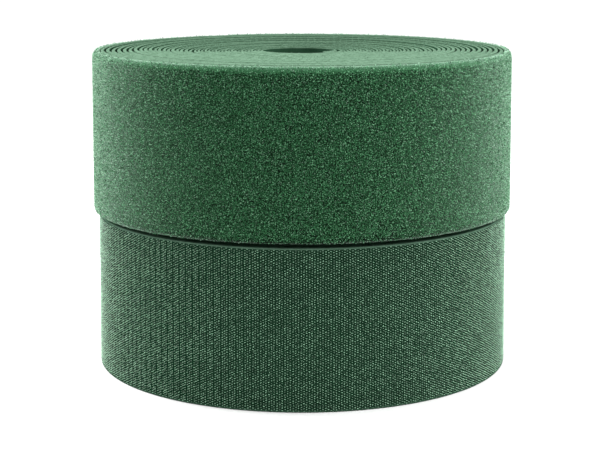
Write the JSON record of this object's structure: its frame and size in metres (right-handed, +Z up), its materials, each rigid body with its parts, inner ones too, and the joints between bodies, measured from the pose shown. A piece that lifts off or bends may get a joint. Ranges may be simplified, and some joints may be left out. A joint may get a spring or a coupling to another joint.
{
  "type": "hook and loop tape roll",
  "caption": "Wide green hook and loop tape wound on coreless rolls, the fuzzy loop roll stacked on the hook roll, with free tape ends that peel away.",
  "frame": {"origin": "centre of the hook roll's underside, on the common axis of both rolls", "axes": "+Z up along the axis of the rolls; -Y faces the picture's viewer, and both tapes' free ends are at the back, towards +Y"},
  "size_m": [0.2667, 0.2684, 0.2003],
  "materials": {
    "hook_tape": "matte",
    "hook_face": "satin",
    "loop_tape": "matte",
    "loop_face": "matte"
  },
  "bodies": {
    "hook_roll": {"hook_tight_turns": "hook_tape", "hook_inner_end": "hook_tape", "hook_winding": "hook_tape", "hook_field": "hook_face"},
    "hook_tail_1": {"hook_tail_tape_1": "hook_tape", "hook_tail_field_1": "hook_face"},
    "hook_tail_2": {"hook_tail_tape_2": "hook_tape", "hook_tail_field_2": "hook_face"},
    "hook_tail_3": {"hook_tail_tape_3": "hook_tape", "hook_tail_field_3": "hook_face"},
    "hook_tail_4": {"hook_tail_tape_4": "hook_tape", "hook_tail_field_4": "hook_face"},
    "hook_tail_5": {"hook_tail_tape_5": "hook_tape", "hook_tail_field_5": "hook_face"},
    "loop_roll": {"loop_tight_turns": "loop_tape", "loop_inner_end": "loop_tape", "loop_winding": "loop_tape", "loop_nap": "loop_face"},
    "loop_tail_1": {"loop_tail_tape_1": "loop_tape", "loop_tail_nap_1": "loop_face"},
    "loop_tail_2": {"loop_tail_tape_2": "loop_tape", "loop_tail_nap_2": "loop_face"},
    "loop_tail_3": {"loop_tail_tape_3": "loop_tape", "loop_tail_nap_3": "loop_face"},
    "loop_tail_4": {"loop_tail_tape_4": "loop_tape", "loop_tail_nap_4": "loop_face"},
    "loop_tail_5": {"loop_tail_tape_5": "loop_tape", "loop_tail_nap_5": "loop_face"}
  },
  "joints": [
    {"name": "loop_roll_lift", "type": "slide", "parent": "hook_roll", "child": "loop_roll", "axis": [0, 0, 1], "range_m": [0, 0.12]},
    {"name": "hook_peel_1", "type": "hinge", "parent": "hook_roll", "child": "hook_tail_1", "pos_m": [0.1074, 0.07777, 0.05], "axis": [0, 0, -1], "range_deg": [0, 22]},
    {"name": "hook_peel_2", "type": "hinge", "parent": "hook_tail_1", "child": "hook_tail_2", "pos_m": [0.09293, 0.09471, 0.05], "axis": [0, 0, -1], "range_deg": [0, 22]},
    {"name": "hook_peel_3", "type": "hinge", "parent": "hook_tail_2", "child": "hook_tail_3", "pos_m": [0.07581, 0.10901, 0.05], "axis": [0, 0, -1], "range_deg": [0, 22]},
    {"name": "hook_peel_4", "type": "hinge", "parent": "hook_tail_3", "child": "hook_tail_4", "pos_m": [0.05654, 0.12024, 0.05], "axis": [0, 0, -1], "range_deg": [0, 22]},
    {"name": "hook_peel_5", "type": "hinge", "parent": "hook_tail_4", "child": "hook_tail_5", "pos_m": [0.03563, 0.1281, 0.05], "axis": [0, 0, -1], "range_deg": [0, 22]},
    {"name": "loop_peel_1", "type": "hinge", "parent": "loop_roll", "child": "loop_tail_1", "pos_m": [0.05483, 0.12317, 0.1503], "axis": [0, 0, -1], "range_deg": [0, 22]},
    {"name": "loop_peel_2", "type": "hinge", "parent": "loop_tail_1", "child": "loop_tail_2", "pos_m": [0.03355, 0.13068, 0.1503], "axis": [0, 0, -1], "range_deg": [0, 22]},
    {"name": "loop_peel_3", "type": "hinge", "parent": "loop_tail_2", "child": "loop_tail_3", "pos_m": [0.01129, 0.13454, 0.1503], "axis": [0, 0, -1], "range_deg": [0, 22]},
    {"name": "loop_peel_4", "type": "hinge", "parent": "loop_tail_3", "child": "loop_tail_4", "pos_m": [-0.0113, 0.13463, 0.1503], "axis": [0, 0, -1], "range_deg": [0, 22]},
    {"name": "loop_peel_5", "type": "hinge", "parent": "loop_tail_4", "child": "loop_tail_5", "pos_m": [-0.03362, 0.13095, 0.1503], "axis": [0, 0, -1], "range_deg": [0, 22]}
  ],
  "couplings": [
    {"joint": "hook_peel_2", "follows": "hook_peel_1", "ratio": 1},
    {"joint": "hook_peel_3", "follows": "hook_peel_1", "ratio": 1},
    {"joint": "hook_peel_4", "follows": "hook_peel_1", "ratio": 1},
    {"joint": "hook_peel_5", "follows": "hook_peel_1", "ratio": 1},
    {"joint": "loop_peel_2", "follows": "loop_peel_1", "ratio": 1},
    {"joint": "loop_peel_3", "follows": "loop_peel_1", "ratio": 1},
    {"joint": "loop_peel_4", "follows": "loop_peel_1", "ratio": 1},
    {"joint": "loop_peel_5", "follows": "loop_peel_1", "ratio": 1}
  ]
}
